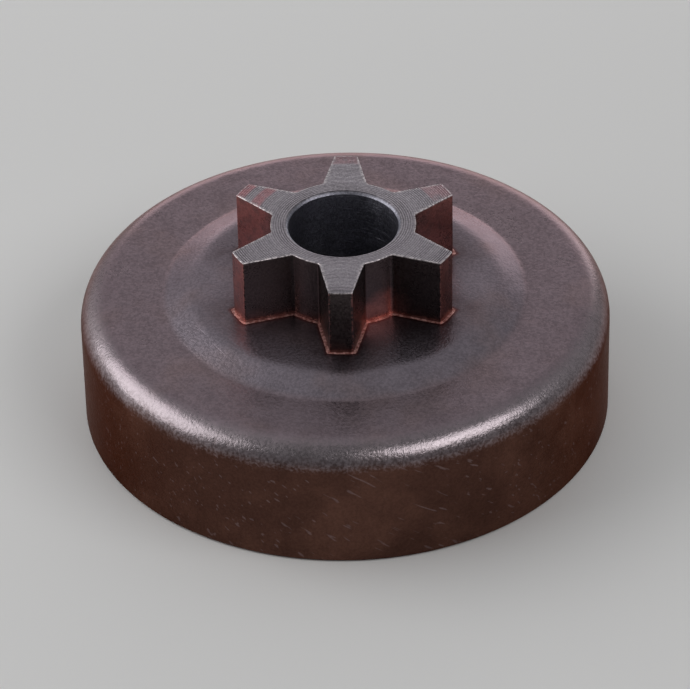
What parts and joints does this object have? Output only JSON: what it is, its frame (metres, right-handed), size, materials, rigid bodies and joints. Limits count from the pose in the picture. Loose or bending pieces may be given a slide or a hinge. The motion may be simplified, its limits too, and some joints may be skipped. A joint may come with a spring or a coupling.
{
  "type": "chain saw clutch drum with spur sprocket",
  "caption": "Clutch drum of a small chain saw: a drawn steel cup with a toothed spur sprocket brazed to its raised centre, bored for a needle bearing.",
  "frame": {"origin": "on the drum's axis, in the plane of its open rim", "axes": "+Z along the axis from the open rim towards the sprocket; one tooth points along -Y, and the gap beside it on each side is 30 degrees on"},
  "size_m": [0.068, 0.068, 0.0276],
  "materials": {
    "drum_steel": "drawn steel with a dull brown to purple heat bloom from the brazing furnace, burnished over the outer corner",
    "sprocket_steel": "dark furnace-toned steel with fine turning rings on the end face and copper-red bloom on the flanks",
    "braze_copper": "dull pink copper braze"
  },
  "bodies": {
    "root": {"drum_cup": "drum_steel", "sprocket": "sprocket_steel", "braze_joint": "braze_copper"}
  },
  "joints": []
}
